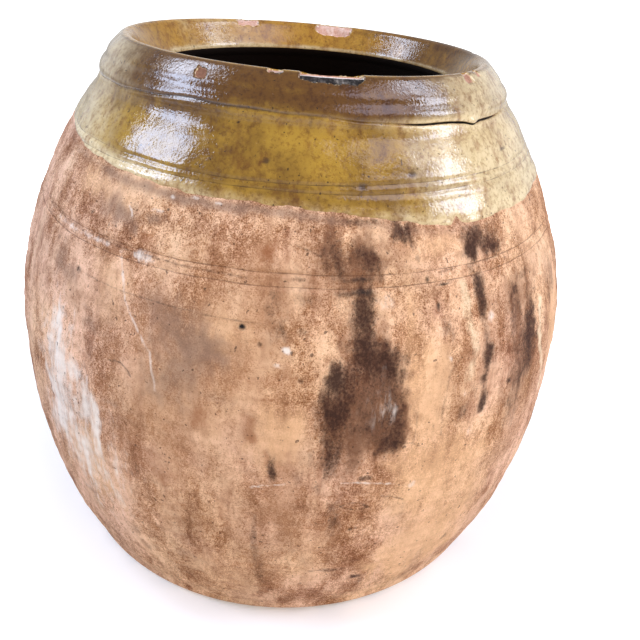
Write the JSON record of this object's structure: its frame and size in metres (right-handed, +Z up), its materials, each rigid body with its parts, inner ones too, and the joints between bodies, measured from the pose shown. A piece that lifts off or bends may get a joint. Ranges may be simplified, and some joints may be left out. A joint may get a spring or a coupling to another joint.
{
  "type": "olive jar",
  "caption": "Wide-mouthed terracotta storage jar: flat base, swelling belly, scored bands, drawn-in shoulder and a collared rim, with an amber lead glaze over mouth and shoulder.",
  "frame": {"origin": "centre of the flat underside, on the floor", "axes": "+Z up along the jar's axis of turning; -Y is the side that the picture shows"},
  "size_m": [0.46, 0.46, 0.4109],
  "materials": {
    "base_clay": "bare fired terracotta, scraped and soiled",
    "lower_clay": "bare fired terracotta, weathered",
    "belly_clay": "bare fired terracotta, weathered",
    "shoulder_clay": "bare fired terracotta under the glaze",
    "neck_clay": "bare fired terracotta under the glaze",
    "collar_clay": "bare fired terracotta under the glaze",
    "lead_glaze": "glossy amber lead glaze with crackle"
  },
  "bodies": {
    "root": {"base_slab": "base_clay", "lower_wall": "lower_clay", "belly_wall": "belly_clay", "shoulder_wall": "shoulder_clay", "neck_ring": "neck_clay", "rim_collar": "collar_clay", "glaze_coat": "lead_glaze"}
  },
  "joints": []
}
